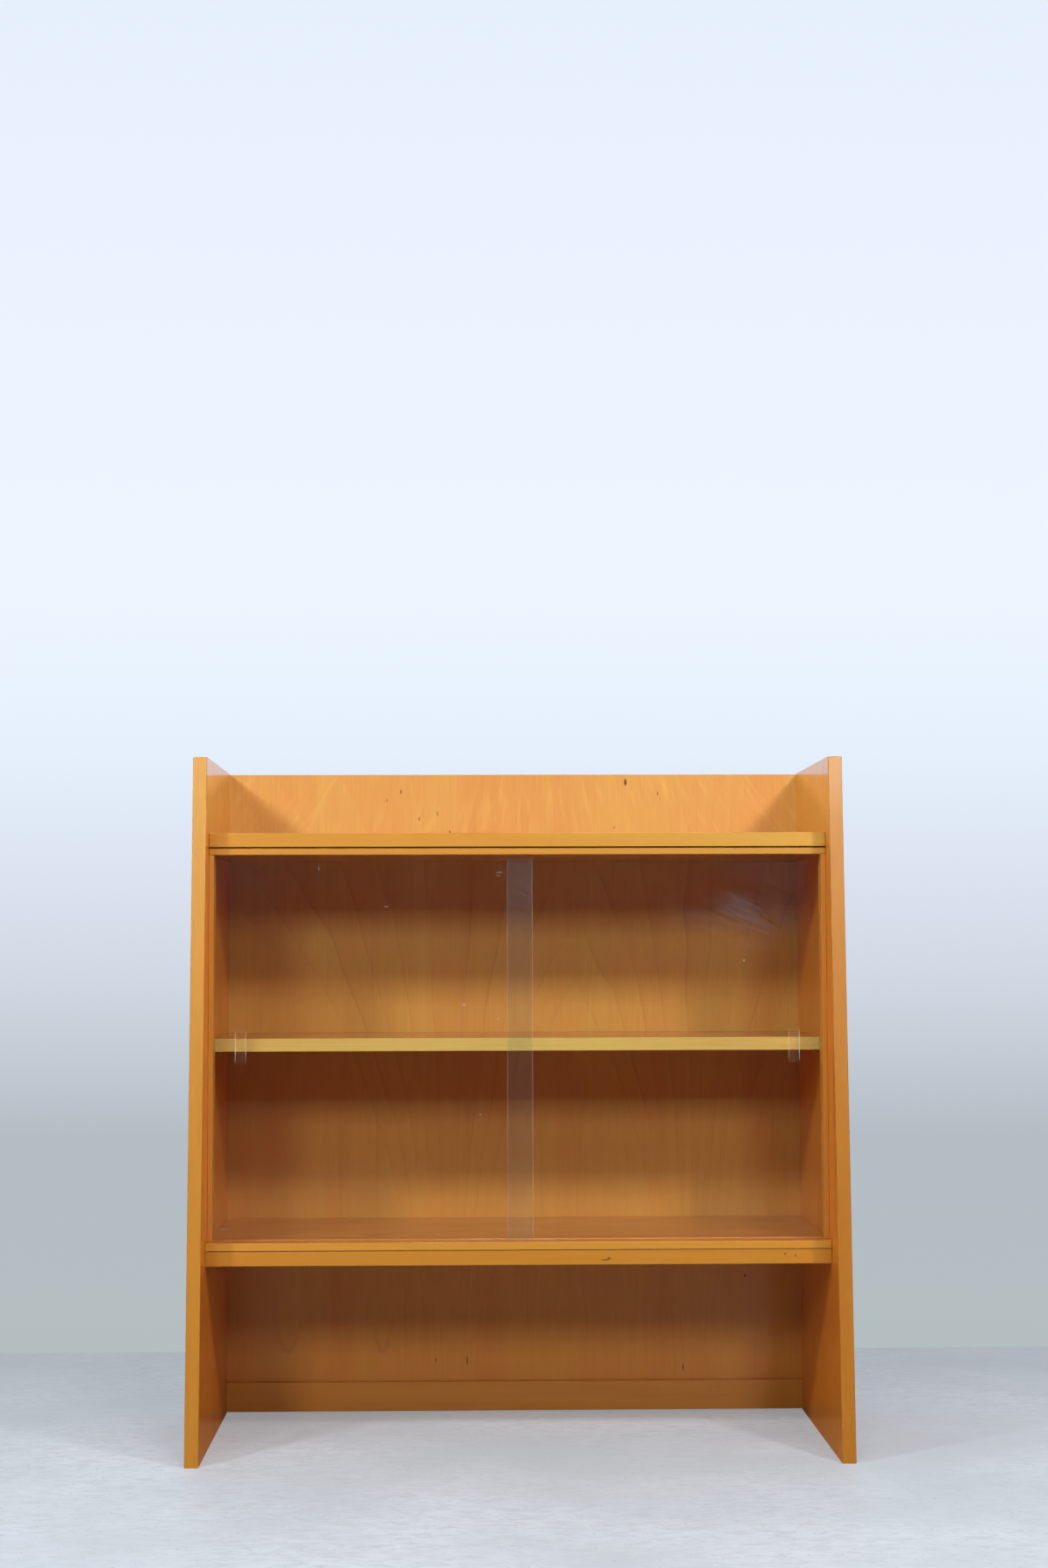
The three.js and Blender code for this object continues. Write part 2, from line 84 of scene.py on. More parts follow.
# Backdrop, with its tone against height
BACKDROP_Y = 840 * MM
BACKDROP_HALF_WIDTH = 9000 * MM
BACKDROP_HEIGHT = 6000 * MM
BACKDROP_TONES = [
    (0 * MM, (180, 189, 191)),
    (64 * MM, (181, 190, 193)),
    (386 * MM, (180, 189, 196)),
    (676 * MM, (208, 216, 227)),
    (1100 * MM, (230, 240, 253)),
    (1400 * MM, (237, 246, 255)),
    (2000 * MM, (234, 243, 255)),
    (2700 * MM, (229, 238, 251)),
]

# Lamps: small ones near the case, larger ones beside the camera and one overhead. Places and sizes
# are in millimetres, powers in watts.
LAMP_AIM = Vector((0, 0, 560)) * MM
LAMPS = {
    "near_left": dict(place=(-1620, -1870, 1960), size=260, power=31.5, rgb=(248, 255, 253)),
    "near_right": dict(place=(1250, -1870, 1960), size=260, power=30, rgb=(255, 247, 236)),
    "near_middle": dict(place=(0, -1870, 1960), size=260, power=9, rgb=(255, 250, 255)),
    "far_left": dict(place=(-1630, -4500, 2180), size=650, power=48.5, rgb=(251, 255, 228)),
    "far_right": dict(place=(1200, -4500, 2180), size=650, power=41, rgb=(255, 247, 236)),
    "overhead": dict(place=(0, -900, 2600), size=900, power=10, rgb=(250, 255, 250)),
}

# Surroundings: soft light from the backdrop's side, and the tones that are seen or mirrored. Their
# levels are parts of the view's direction, towards the backdrop or upwards.
SOFT_LIGHT_TONE = (232, 240, 255)
SOFT_LIGHT_LEVELS = (-0.1, 0.4)
SOFT_LIGHT_STRENGTHS = (0.0, 0.55)
SURROUND_TONE = (224, 231, 241)
SURROUND_LEVELS = (-0.3, 0.3)
FRONT_LOW_TONE = (34, 30, 28)
FRONT_HIGH_TONE = (58, 66, 86)
HORIZON_LEVELS = (-0.03, 0.03)

# Wood tones
SIDE_TONES = dict(light=(240, 146, 37), dark=(222, 126, 29), warm=(230, 130, 31))
JAMB_TONES = dict(light=(200, 136, 51), dark=(183, 116, 41), warm=(191, 123, 44))
BACK_TONES = dict(light=(206, 154, 73), dark=(192, 132, 59), warm=(200, 131, 62))
SHELF_TONES = dict(light=(181, 117, 54), dark=(166, 101, 42), warm=(173, 105, 47))
LIPPING_TONES = dict(light=(190, 134, 44), dark=(178, 120, 36), warm=(184, 124, 39))
RIGHT_LIPPING_TONES = dict(light=(177, 118, 34), dark=(166, 105, 27), warm=(171, 109, 30))
MIDDLE_SHELF_TONES = dict(light=(202, 132, 65), dark=(186, 114, 50), warm=(194, 117, 56))
MIDDLE_LIPPING_TONES = dict(light=(214, 175, 97), dark=(201, 162, 86), warm=(207, 161, 88))
BOARD_TONES = dict(light=(203, 146, 50), dark=(190, 132, 40), warm=(195, 137, 45))
BOARD_TOP_TINT = (252, 216, 255)
RAIL_TONES = dict(light=(211, 146, 57), dark=(194, 126, 43), warm=(201, 133, 49))
BEECH_TONES = dict(light=(204, 172, 128), dark=(186, 148, 105), warm=(195, 155, 116))
LINE_TONE = (136, 70, 36)

# Painted light: towards the foot the wood loses a little red and more green and blue, for the dimmer, warmer
# light there
FOOT_PAINTED_LIGHT_TONE = (250, 246, 240)
BACK_FOOT_PAINTED_LIGHT_TONE = (250, 229, 186)
FADE_TOP = 900 * MM
FADE_FOOT = 100 * MM

# Parts that go over to another tone along an axis. On the side panels this is painted light: the
# veneer turns yellower above the top shelf, where the open tray is lit, and the front edges turn
# paler and yellower towards the top. The top shelf's edge and the ceiling board turn paler and
# yellower towards their right ends.
SIDE_TRAY_PAINTED_LIGHT = dict(axis="Z", start=870 * MM, end=930 * MM, share=0.26, rgb=(255, 214, 40))
SIDE_EDGE_PAINTED_LIGHT = dict(axis="Z", start=480 * MM, end=1000 * MM, share=0.06, rgb=(255, 243, 200))
SHELF_EDGE_RIGHT_PALING = dict(axis="X", start=-50 * MM, end=420 * MM, share=0.15, rgb=(200, 204, 108))
CEILING_RIGHT_PALING = dict(axis="X", start=-50 * MM, end=420 * MM, share=0.07, rgb=(200, 204, 108))

# Wood structure
STREAKS = dict(width=11 * MM, length=420 * MM, detail=3, distortion=0.3)
STREAK_LEVELS = (0.3, 0.75)
STREAK_SHARE = 0.75
BACK_STREAK_SHARE = 0.35
BROAD_BANDS = dict(width=110 * MM, length=620 * MM, detail=2, distortion=0.6)
BROAD_LEVELS = (0.35, 0.7)
BROAD_SHARE = 0.75
FIBRES = dict(width=1.5 * MM, length=60 * MM, detail=2)
FIBRE_LEVELS = (0.35, 0.75)
FIBRE_SHARE = 0.14
PORES = dict(width=0.5 * MM, length=7 * MM, detail=1)
PORE_LEVELS = (0.66, 0.78)
PORE_SHARE = 0.16
GRAIN_RELIEF = 0.04 * MM
GRAIN_RELIEF_SHARE = 0.5
# Moves of the wood's pattern in metres: the pieces of one side share theirs, the others have their own
PATTERN_MOVES = {
    "left": (1.3, 0.65, 1.3),
    "right": (4.1, 2.05, 4.1),
    "top_shelf": (2.2, 0, 0),
    "top_shelf_lipping": (3.1, 0, 0),
    "lower_shelf": (5.7, 0, 0),
    "lower_shelf_lipping": (6.3, 0, 0),
    "middle_shelf": (7.9, 0, 0),
    "middle_shelf_lipping": (9.4, 0, 0),
    "cabinet_floor": (11.2, 0, 0),
    "cabinet_ceiling": (12.8, 0, 0),
    "bottom_rail": (14.6, 0, 0),
}

# Lacquer and its wear
WOOD_ROUGHNESS = 0.4
ROUGHNESS_SPREAD = 0.1
SMUDGES = dict(width=60 * MM, length=90 * MM, detail=3)
SMUDGE_LEVELS = (0.3, 0.7)
SPECULAR_LEVEL = 0.3
LACQUER_ROUGHNESS = 0.1
LACQUER_SHARE = 0.8
SIDE_LACQUER_SHARE = 0.7
EDGE_LACQUER_SHARE = 0.12

# Figure of the back sheet: hearts whose dark rings open upwards and fade out at the top shelf. The
# lift keeps the ring count above zero.
HEARTS = [
    dict(centre=-103 * MM, lean=-0.004, rise=390 * MM, first=12.4 * MM, spacing=7.6 * MM),
    dict(centre=279 * MM, lean=0.024, rise=362 * MM, first=9.4 * MM, spacing=6.8 * MM),
]
HEART_BLEND = 0.6
RING_PATHS = dict(width=90 * MM, length=380 * MM, detail=2)
RING_WANDER = 0.5
RING_LIFT = 64.0
RING_SHARPNESS = 16
RING_STRENGTHS = dict(width=40 * MM, length=260 * MM, detail=1)
RING_LEVELS = (0.35, 0.65)
RING_SHARE = 0.3
RING_FADE = (2, 5.5)
RING_TOP = (800 * MM, 900 * MM)
BAND_SHARE = 0.27
# Pale flames, with one share below and one above the height where the rings fade out
FLAME_TONE = (216, 166, 84)
FLAME_MIDDLE = 20 * MM
FLAME_START = 860 * MM
FLAME_RISE = 470 * MM
FLAME_WIDTH = 17 * MM
FLAME_LENGTH = 90 * MM
FLAME_DETAIL = 3
FLAME_DISTORTION = 0.6
FLAME_LEVELS = (0.48, 0.68)
FLAME_SHARES = (0.16, 0.58)
FLAME_PATCHES = dict(width=4 * FLAME_WIDTH, length=FLAME_LENGTH, detail=1)
FLAME_PATCH_LEVELS = (0.35, 0.6)
VEINS = dict(width=8 * MM, length=260 * MM, detail=1)
VEIN_LEVELS = (0.64, 0.72)
VEIN_SHARE = 0.1
# Arcs that open upwards, in millimetres: place of the tip across and up, and steepness
ARCS = [(-359, 96, 0.125), (-210, 95, 0.231)]
ARC_HALF_WIDTH = 4.2
ARC_HEIGHT = 52

# Edges and rear face of the back sheet
PLY_TONES = ((186, 145, 96), (136, 89, 51))
PLY_THICKNESS = 2.7 * MM
# One ply goes over to the next between these depths
PLY_CHANGE = (0.4 * PLY_THICKNESS, 0.6 * PLY_THICKNESS)
RAW_BACK_TONE = (177, 134, 90)
RAW_BACK_SHARE = 0.7

# Small dark ovals, in millimetres: place along the two axes, and half sizes
PIPS = [
    (179.5, 996.2, 2.6, 6.4), (231.4, 977.9, 0.9, 4), (160.8, 923.2, 0.9, 2.4), (-181.1, 981.3, 1.3, 4.4),
    (-203.5, 967.3, 0.9, 3), (-122.3, 946.1, 0.9, 4.6), (-151.7, 937.7, 1, 3.6), (-102.8, 916.6, 1.4, 2.6),
    (-125.6, 79.9, 1.1, 4.2), (-75.9, 79.5, 1.2, 8.6), (266, 66.5, 1.3, 6.4), (365.7, 209.8, 2.2, 2.2),
]
# Painted shade: a long thin dark band along the joint where the lower shelf's lipping meets the board above
# it
JOINT_SHADE_LINE = (0, 292.6, 6000, 1.1)
DENTS_AND_JOINT_SHADE = [
    (124.5, 277.9, 7, 1), (130, 280, 3, 1.6), (386.4, 285.3, 2.4, 1.2), (401.6, 282.7, 1.8, 1.4),
    JOINT_SHADE_LINE,
]
SLITS = [(-212, -44, 19, 6)]
BACK_MARKS = dict(axes="XZ", ovals=PIPS, rgb=(116, 47, 23))
LOWER_EDGE_DENTS_AND_SHADE = dict(axes="XZ", ovals=DENTS_AND_JOINT_SHADE, rgb=(108, 60, 23))
FLOOR_BOARD_MARKS = dict(axes="XY", ovals=SLITS, rgb=(78, 33, 14))
# How far out a mark stays full, as a share of its squared reach
MARK_CORE_SHARE = 0.45

# Metal and dowels
BRASS_TONE = (196, 158, 92)
BRASS_ROUGHNESS = 0.28
STEEL_TONE = (172, 172, 168)
STEEL_ROUGHNESS = 0.35
METAL_WEAR = dict(width=1.5 * MM, length=0.4 * MM, detail=3)
WEAR_TONE_LEVELS = (0.4, 0.7)
WEAR_LEVELS = (0.3, 0.7)
WORN_TONE_SHARE = 0.7
DOWEL_ROUGHNESS = 0.6

# Glass
GLASS_TINT = (252, 255, 255)
GLASS_IOR = 1.5
GLASS_ROUGHNESS = 0.02
# Ground faces at the edges, in the grip's hollow and at its rim: how much of each scatters light
FROST_TONE = (214, 226, 220)
FROST_ROUGHNESS = 0.25
EDGE_SHARE = 0.14
HOLLOW_SHARE = 0.015
RIM_SHARE = 0.38
GRIT = dict(width=0.8 * MM, length=3 * MM, detail=2)
GRIT_LEVELS = (0.3, 0.7)
# The least and the most that the grit makes of a ground face's share
GRIT_SHARES = (0.8, 1.2)

# Film on the panes' outer faces. Where the closed panes overlap there is more of it, which is painted
# reflection.
FILM_TONE = (162, 200, 222)
FILM_CLOUDS = dict(width=70 * MM, length=110 * MM, detail=4, distortion=0.8)
FILM_CLOUD_LEVELS = (0.3, 0.8)
FILM_SHARES = (0.0002, 0.0018)
OVERLAP_X = (-16 * MM, 21 * MM)
OVERLAP_REFLECTION_SHARE = 0.004
# Patches with straight edges, in millimetres: the first two are wiped, and the last is painted reflection at
# the top of the overlap strip. Each patch lies to the left of its edges, which have a start, an end and a
# soft width
WEDGES = [
    dict(share=0.0055, edges=[
        ((250, 866), (430, 762), 26),
        ((436, 762), (436, 870), 14),
        ((270, 870), (262, 800), 40),
    ]),
    dict(share=0.005, edges=[
        ((-460, 770), (-200, 800), 70),
        ((-330, 700), (-330, 870), 110),
    ]),
    # Painted reflection: this patch lies at the top of the strip where the closed panes overlap
    dict(share=0.006, edges=[
        ((-16, 740), (21, 740), 70),
        ((-16, 870), (-16, 700), 1),
        ((21, 700), (21, 870), 1),
    ]),
]
# Round smears, in millimetres: place across and up, half sizes, and share
SMEARS = [
    (328, 790, 40, 30, 0.01), (290, 770, 80, 24, 0.007), (358, 780, 56, 34, 0.009),
    (306, 802, 34, 20, 0.004), (392, 768, 66, 30, 0.005), (352, 738, 38, 26, 0.004),
    (250, 786, 60, 30, 0.003),
]
SMEAR_CORE_SHARE = 0.05
# Fine streaks that break up the patches and smears
WIPE_LEAN = 0.45
WIPE_WIDTH = 6 * MM
WIPE_LENGTH = 60 * MM
WIPE_DETAIL = 4
WIPE_DISTORTION = 0.6
WIPE_LEVELS = (0.3, 0.7)
WIPE_SPREAD_SHARE = 0.9
# Scratches, in millimetres: place across and up, and half sizes
SCRATCHES = [
    (-195, 792, 3.2, 0.7), (-80, 647, 1.2, 3), (-56, 486, 2.4, 0.8), (-30, 626, 0.7, 4), (-27, 842, 5, 0.5),
    (-29, 837, 4, 0.5), (-294, 848, 0.7, 3), (-435, 321, 12, 0.6), (335, 711, 1, 2),
]
SCRATCH_SHARE = 0.16

# Shape of the panes, from a cube: softened edges, and the ground finger grip near the outer edge
CUBE_SIZE = 1
ARRIS = 0.5 * MM
ARRIS_STEPS = 2
ARRIS_ROUND_SHARE = 0.5
GRIP_INSET = 41.9 * MM
GRIP_WIDTH = 16.5 * MM
GRIP_HEIGHT = 50 * MM
GRIP_DEPTH = 2 * MM
GRIP_FLARE = 1.3 * MM
GRIP_STRIPS = 24
# Places of a pane's materials after the clear one
EDGE_INDEX = 1
HOLLOW_INDEX = 2
RIM_INDEX = 3

# How much of a face's normal lies along an axis: for a face that looks that way, for a pane's flat
# faces along Y at the least, and for the grip's rim along X at the least
FACING_SHARE = 0.7
FLAT_SHARE = 0.99
RIM_TURN_SHARE = 0.3

# Softened edges of the wood, and the least turn that counts as an edge
WELD_DISTANCE = 0.01 * MM
FLAT_ANGLE = math.radians(1)
EDGE_ANGLE = math.radians(30)
EDGE_ROUNDING = 0.8 * MM
FINE_ROUNDING = 0.25 * MM
ROUNDING_STEPS = 2


def tone(rgb):
    """Scene colour of a display colour given from 0 to 255."""
    display = Color([value / TONE_MAX for value in rgb])
    return (*display.from_srgb_to_scene_linear(), 1)


class Graph:
    """A material's nodes, joined as they are made."""

    def __init__(self, owner):
        owner.use_nodes = True
        self.nodes = owner.node_tree.nodes
        self.links = owner.node_tree.links
        self.nodes.clear()

    def feed(self, socket, value):
        """Links another socket, or sets a plain value."""
        if isinstance(value, bpy.types.NodeSocket):
            self.links.new(value, socket)
        else:
            socket.default_value = value

    def node(self, kind, inputs=None, **settings):
        """A node with its settings, and with inputs by name or number."""
        made = self.nodes.new(kind)
        for name, value in settings.items():
            setattr(made, name, value)
        for name, value in (inputs or {}).items():
            self.feed(made.inputs[name], value)
        return made

    def math(self, operation, *values):
        inputs = dict(enumerate(values))
        return self.node("ShaderNodeMath", inputs, operation=operation).outputs[0]

    def vector(self, operation, *values):
        inputs = dict(enumerate(values))
        return self.node("ShaderNodeVectorMath", inputs, operation=operation).outputs[0]

    def mix(self, share, first, second, blend="MIX"):
        """Lays the second colour over the first by a share."""
        made = self.nodes.new("ShaderNodeMix")
        made.data_type = "RGBA"
        made.blend_type = blend
        sockets = {socket.identifier: socket for socket in made.inputs}
        self.feed(sockets["Factor_Float"], share)
        self.feed(sockets["A_Color"], first)
        self.feed(sockets["B_Color"], second)
        return next(socket for socket in made.outputs if socket.identifier == "Result_Color")

    def remap(self, value, low, high, start=0.0, end=1.0):
        """Runs from the start to the end while the value runs from low to high, and stops there."""
        inputs = {"Value": value, "From Min": low, "From Max": high, "To Min": start, "To Max": end}
        return self.node("ShaderNodeMapRange", inputs).outputs["Result"]

    def noise(self, place, detail, distortion=0.0):
        inputs = {"Vector": place, "Scale": 1.0, "Detail": detail, "Distortion": distortion}
        return self.node("ShaderNodeTexNoise", inputs).outputs["Fac"]

    def place(self):
        return self.node("ShaderNodeTexCoord").outputs["Object"]

    def split(self, vector):
        return self.node("ShaderNodeSeparateXYZ", {0: vector}).outputs

    def join(self, x, y, z):
        return self.node("ShaderNodeCombineXYZ", {0: x, 1: y, 2: z}).outputs[0]

    def mix_shader(self, share, first, second):
        return self.node("ShaderNodeMixShader", {0: share, 1: first, 2: second}).outputs[0]

    def surface(self, shader):
        self.node("ShaderNodeOutputMaterial", {"Surface": shader})


def new_material(name):
    """A new material, and the graph that holds its nodes."""
    material = bpy.data.materials.new(name)
    return material, Graph(material)


def pattern(graph, place, along, width, length, detail, distortion=0.0):
    """Noise that is narrow across the grain and long along it."""
    scale = [1 / width] * len(AXES)
    scale[AXES.index(along)] = 1 / length
    return graph.noise(graph.vector("MULTIPLY", place, scale), detail, distortion)


def measured(graph, value, start, unit):
    """How far a value is past a start, in a unit of its own."""
    return graph.math("DIVIDE", graph.math("SUBTRACT", value, start), unit)


def squared(graph, value):
    """A value times itself."""
    return graph.math("MULTIPLY", value, value)


def strongest(graph, shares):
    """The largest of several shares at each place."""
    total, *others = shares
    for share in others:
        total = graph.math("MAXIMUM", total, share)
    return total


def normal_part(graph, axis):
    """How much of a face's normal lies along an axis."""
    return graph.split(graph.node("ShaderNodeNewGeometry").outputs["Normal"])[axis]


def worn_roughness(graph, wear, levels, roughness):
    """Roughness that rises with a pattern of wear."""
    return graph.remap(wear, *levels, roughness, roughness + ROUGHNESS_SPREAD)


def link(made):
    """Puts a new object into the scene."""
    bpy.context.scene.collection.objects.link(made)


def mesh_object(name, form, materials):
    """An object of a finished bmesh, with its materials in their order."""
    mesh = bpy.data.meshes.new(name)
    form.to_mesh(mesh)
    form.free()
    for material in materials:
        mesh.materials.append(material)
    made = bpy.data.objects.new(name, mesh)
    link(made)
    return made


# Camera and stage

def add_camera():
    """The camera as it was fitted to the photograph."""
    data = bpy.data.cameras.new("camera")
    data.sensor_width = SENSOR_SIZE
    data.lens = FOCAL_PIXELS / IMAGE_HEIGHT * SENSOR_SIZE
    camera = bpy.data.objects.new("camera", data)
    heading = Matrix.Rotation(-math.radians(CAMERA_YAW), 4, "Z")
    tilt = Matrix.Rotation(math.radians(LEVEL_TILT + CAMERA_PITCH), 4, "X")
    roll = Matrix.Rotation(math.radians(CAMERA_ROLL), 4, "Z")
    camera.matrix_world = Matrix.Translation(CAMERA_PLACE) @ heading @ tilt @ roll
    link(camera)
    bpy.context.scene.camera = camera


def add_stage_sheet(name, corner, across, up, material):
    """One flat sheet of the stage, from a corner and its two sides."""
    form = bmesh.new()
    corners = [corner, corner + across, corner + across + up, corner + up]
    form.faces.new([form.verts.new(place) for place in corners])
    sheet = mesh_object(name, form, [material])
    return sheet


def ground_material():
    """Worn paint with brush strokes and specks, which sends a warmer light up to the case."""
    material, graph = new_material("painted_floor")
    place = graph.place()
    patches = pattern(graph, place, "Z", **GROUND_PATCHES)
    worn = graph.remap(patches, *GROUND_PATCH_LEVELS)
    paint = graph.mix(worn, tone(GROUND_PAINT), tone(GROUND_PAINT_WORN))
    strokes = pattern(graph, place, "X", **GROUND_STROKES)
    brushed = graph.remap(strokes, *GROUND_STROKE_LEVELS, 0, GROUND_STROKE_SHARE)
    paint = graph.mix(brushed, paint, tone(GROUND_PAINT_WORN))
    specks = pattern(graph, place, "Z", **GROUND_SPECKS)
    specked = graph.remap(specks, *GROUND_SPECK_LEVELS, 0, GROUND_SPECK_SHARE)
    paint = graph.mix(specked, paint, tone(GROUND_SPECK_TONE))
    seen = graph.node("ShaderNodeLightPath").outputs["Is Camera Ray"]
    shader = graph.node("ShaderNodeBsdfPrincipled", {
        "Base Color": graph.mix(seen, tone(GROUND_BOUNCE_TONE), paint),
        "Roughness": worn_roughness(graph, patches, (0, 1), GROUND_ROUGHNESS),
    })
    glow = graph.node("ShaderNodeEmission", {"Color": tone(GROUND_GLOW_TONE)}).outputs[0]
    share = graph.math("MULTIPLY", seen, GROUND_GLOW_SHARE)
    graph.surface(graph.mix_shader(share, shader.outputs[0], glow))
    return material


def add_ground():
    """A square of painted ground, with the case in its middle."""
    corner = Vector((-GROUND_REACH, -GROUND_REACH, 0))
    across = Vector((2 * GROUND_REACH, 0, 0))
    back = Vector((0, 2 * GROUND_REACH, 0))
    add_stage_sheet("floor", corner, across, back, ground_material())


def backdrop_material():
    """The backdrop glows in its own tones, and from behind it is clear so that the back can be seen."""
    material, graph = new_material("plain_wall")
    height = graph.split(graph.place())["Z"]
    top = BACKDROP_TONES[-1][0]
    ramp = graph.node("ShaderNodeValToRGB", {0: graph.remap(height, 0, top)})
    elements = ramp.color_ramp.elements
    for level, rgb in BACKDROP_TONES[1:-1]:
        elements.new(level / top).color = tone(rgb)
    elements[0].color = tone(BACKDROP_TONES[0][1])
    elements[-1].color = tone(BACKDROP_TONES[-1][1])
    glow = graph.node("ShaderNodeEmission", {"Color": ramp.outputs["Color"]}).outputs[0]
    clear = graph.node("ShaderNodeBsdfTransparent").outputs[0]
    behind = graph.node("ShaderNodeNewGeometry").outputs["Backfacing"]
    graph.surface(graph.mix_shader(behind, glow, clear))
    return material


def add_backdrop():
    """The backdrop is only seen or mirrored: it gives the case no light and no shadow."""
    corner = Vector((-BACKDROP_HALF_WIDTH, BACKDROP_Y, 0))
    across = Vector((2 * BACKDROP_HALF_WIDTH, 0, 0))
    up = Vector((0, 0, BACKDROP_HEIGHT))
    backdrop = add_stage_sheet("wall", corner, across, up, backdrop_material())
    backdrop.visible_diffuse = False
    backdrop.visible_shadow = False


def add_lamp(name, place, size, power, rgb):
    """A square lamp that points at the case and isn't seen by the camera."""
    data = bpy.data.lights.new(name, "AREA")
    data.size = size * MM
    data.energy = power
    data.color = tone(rgb)[:3]
    lamp = bpy.data.objects.new(name, data)
    lamp.location = Vector(place) * MM
    lamp.rotation_mode = "QUATERNION"
    lamp.rotation_quaternion = (LAMP_AIM - lamp.location).to_track_quat("-Z", "Y")
    lamp.visible_camera = False
    link(lamp)


def surround_tone(graph, direction, camera_ray):
    """Pale for the camera and towards the backdrop, and dark in front for what the case mirrors."""
    pale = graph.remap(direction["Y"], *SURROUND_LEVELS)
    pale = graph.math("MAXIMUM", pale, camera_ray)
    high = graph.remap(direction["Z"], *HORIZON_LEVELS)
    front = graph.mix(high, tone(FRONT_LOW_TONE), tone(FRONT_HIGH_TONE))
    return graph.mix(pale, front, tone(SURROUND_TONE))


def add_world():
    """Surroundings that show a tone where they are seen or mirrored, and otherwise give soft light."""
    world = bpy.data.worlds.new("room")
    bpy.context.scene.world = world
    graph = Graph(world)
    path = graph.node("ShaderNodeLightPath").outputs
    direction = graph.split(graph.node("ShaderNodeTexCoord").outputs["Generated"])
    seen = graph.math("MAXIMUM", path["Is Camera Ray"], path["Is Glossy Ray"])
    seen = graph.math("MAXIMUM", seen, path["Is Transmission Ray"])
    strength = graph.remap(direction["Y"], *SOFT_LIGHT_LEVELS, *SOFT_LIGHT_STRENGTHS)
    soft_light = graph.node("ShaderNodeBackground", {"Color": tone(SOFT_LIGHT_TONE), "Strength": strength})
    shown_tone = surround_tone(graph, direction, path["Is Camera Ray"])
    shown = graph.node("ShaderNodeBackground", {"Color": shown_tone, "Strength": 1})
    shader = graph.mix_shader(seen, soft_light.outputs[0], shown.outputs[0])
    graph.node("ShaderNodeOutputWorld", {"Surface": shader})


# Wood

def facing(graph, axis):
    """1 on faces that look along an axis either way, 0 elsewhere."""
    part = graph.math("ABSOLUTE", normal_part(graph, axis))
    return graph.math("GREATER_THAN", part, FACING_SHARE)


def grain_place(graph, along, move):
    """The place that the grain follows; on the ends of upright boards it turns to run along the edge."""
    place = graph.vector("ADD", graph.place(), move)
    if along == "X":
        return place
    x, y, z = graph.split(place)
    turned = graph.join(x, z, y)
    return graph.mix(facing(graph, along), place, turned)


def wood_tone(graph, place, along, tones, streak_share):
    """Streaks of a light and a dark tone, with warmer broad bands over them."""
    streaks = pattern(graph, place, along, **STREAKS)
    streaked = graph.remap(streaks, *STREAK_LEVELS, 0, streak_share)
    colour = graph.mix(streaked, tone(tones["light"]), tone(tones["dark"]))
    bands = pattern(graph, place, along, **BROAD_BANDS)
    warmed = graph.remap(bands, *BROAD_LEVELS, 0, BROAD_SHARE)
    return graph.mix(warmed, colour, tone(tones["warm"]))


def fine_grain(graph, place, along):
    """Fibres and pores: how dark they make the wood, and the relief that they leave."""
    fibres = pattern(graph, place, along, **FIBRES)
    pores = pattern(graph, place, along, **PORES)
    fibre_dark = graph.remap(fibres, *FIBRE_LEVELS, 0, FIBRE_SHARE)
    pore_dark = graph.remap(pores, *PORE_LEVELS, 0, PORE_SHARE)
    dark = graph.math("ADD", fibre_dark, pore_dark)
    return dark, graph.math("SUBTRACT", 1.0, dark)


def oval_marks(graph, place, axes, ovals, core_share=MARK_CORE_SHARE):
    """1 in the core of small ovals and 0 outside them, with a soft step between."""
    parts = graph.split(place)
    across, up = parts[axes[0]], parts[axes[1]]
    shares = []
    for middle_across, middle_up, half_width, half_height in ovals:
        off_across = measured(graph, across, middle_across * MM, half_width * MM)
        off_up = measured(graph, up, middle_up * MM, half_height * MM)
        reach = graph.math("ADD", squared(graph, off_across), squared(graph, off_up))
        shares.append(graph.remap(reach, 1, core_share))
    return strongest(graph, shares)


def heart_rings(graph, place, centre, lean, rise, first, spacing):
    """Ring count of a heart figure: whole numbers fall on the dark lines."""
    x, _, z = graph.split(place)
    axis = graph.math("MULTIPLY_ADD", z, lean, centre)
    out = graph.math("ABSOLUTE", graph.math("SUBTRACT", x, axis))
    closing = graph.math("EXPONENT", graph.math("DIVIDE", z, -rise))
    narrowed = graph.math("MULTIPLY", out, closing)
    return measured(graph, narrowed, first, spacing)


def ring_figure(graph, place):
    """Thin dark ring lines and the broad bands between them."""
    _, _, z = graph.split(place)
    first, second = (heart_rings(graph, place, **heart) for heart in HEARTS)
    rings = graph.math("SMOOTH_MIN", first, second, HEART_BLEND)
    paths = pattern(graph, place, "Z", **RING_PATHS)
    rings = graph.math("ADD", rings, graph.remap(paths, 0, 1, -RING_WANDER, RING_WANDER))
    part = graph.math("FRACT", graph.math("ADD", rings, RING_LIFT))
    inner = graph.remap(rings, *RING_FADE, 1, 0)
    strengths = pattern(graph, place, "Z", **RING_STRENGTHS)
    line = graph.math("POWER", part, RING_SHARPNESS)
    line = graph.math("MULTIPLY", line, graph.remap(strengths, *RING_LEVELS, 0, RING_SHARE))
    line = graph.math("MULTIPLY", line, inner)
    line = graph.math("MULTIPLY", line, graph.remap(z, *RING_TOP, 1, 0))
    band = graph.math("MULTIPLY", graph.math("MULTIPLY", part, inner), BAND_SHARE)
    return line, band


